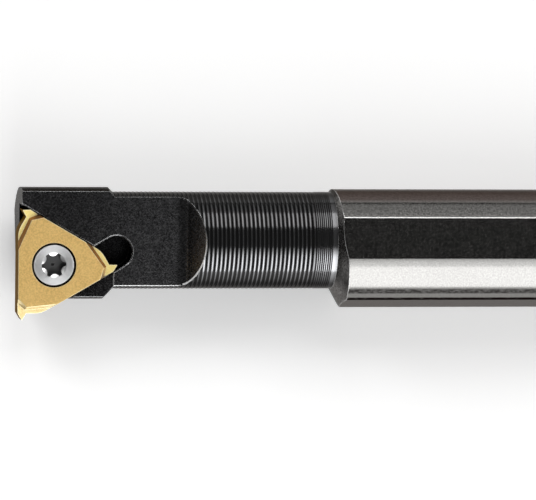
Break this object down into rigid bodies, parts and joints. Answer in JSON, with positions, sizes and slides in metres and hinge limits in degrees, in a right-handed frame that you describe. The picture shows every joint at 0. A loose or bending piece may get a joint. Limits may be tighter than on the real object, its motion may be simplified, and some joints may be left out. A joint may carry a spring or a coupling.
{
  "type": "boring bar",
  "caption": "Internal threading boring bar with a flatted round shank, a slim ringed neck and a screw-clamped triangular insert.",
  "frame": {"origin": "centre of the rear end face of the shank, on the shank axis", "axes": "+X along the shank toward the head, +Y toward the working tip, +Z out of the top flat, on the side the insert faces"},
  "size_m": [0.1505, 0.0179, 0.015],
  "materials": {
    "bar": "black oxide on the neck and head, ground bright on the shank",
    "threading_insert": "satin gold-coloured hard coating on carbide",
    "insert_screw": "plain satin steel"
  },
  "bodies": {
    "root": {"bar": "bar", "threading_insert": "threading_insert", "insert_screw": "insert_screw"}
  },
  "joints": []
}
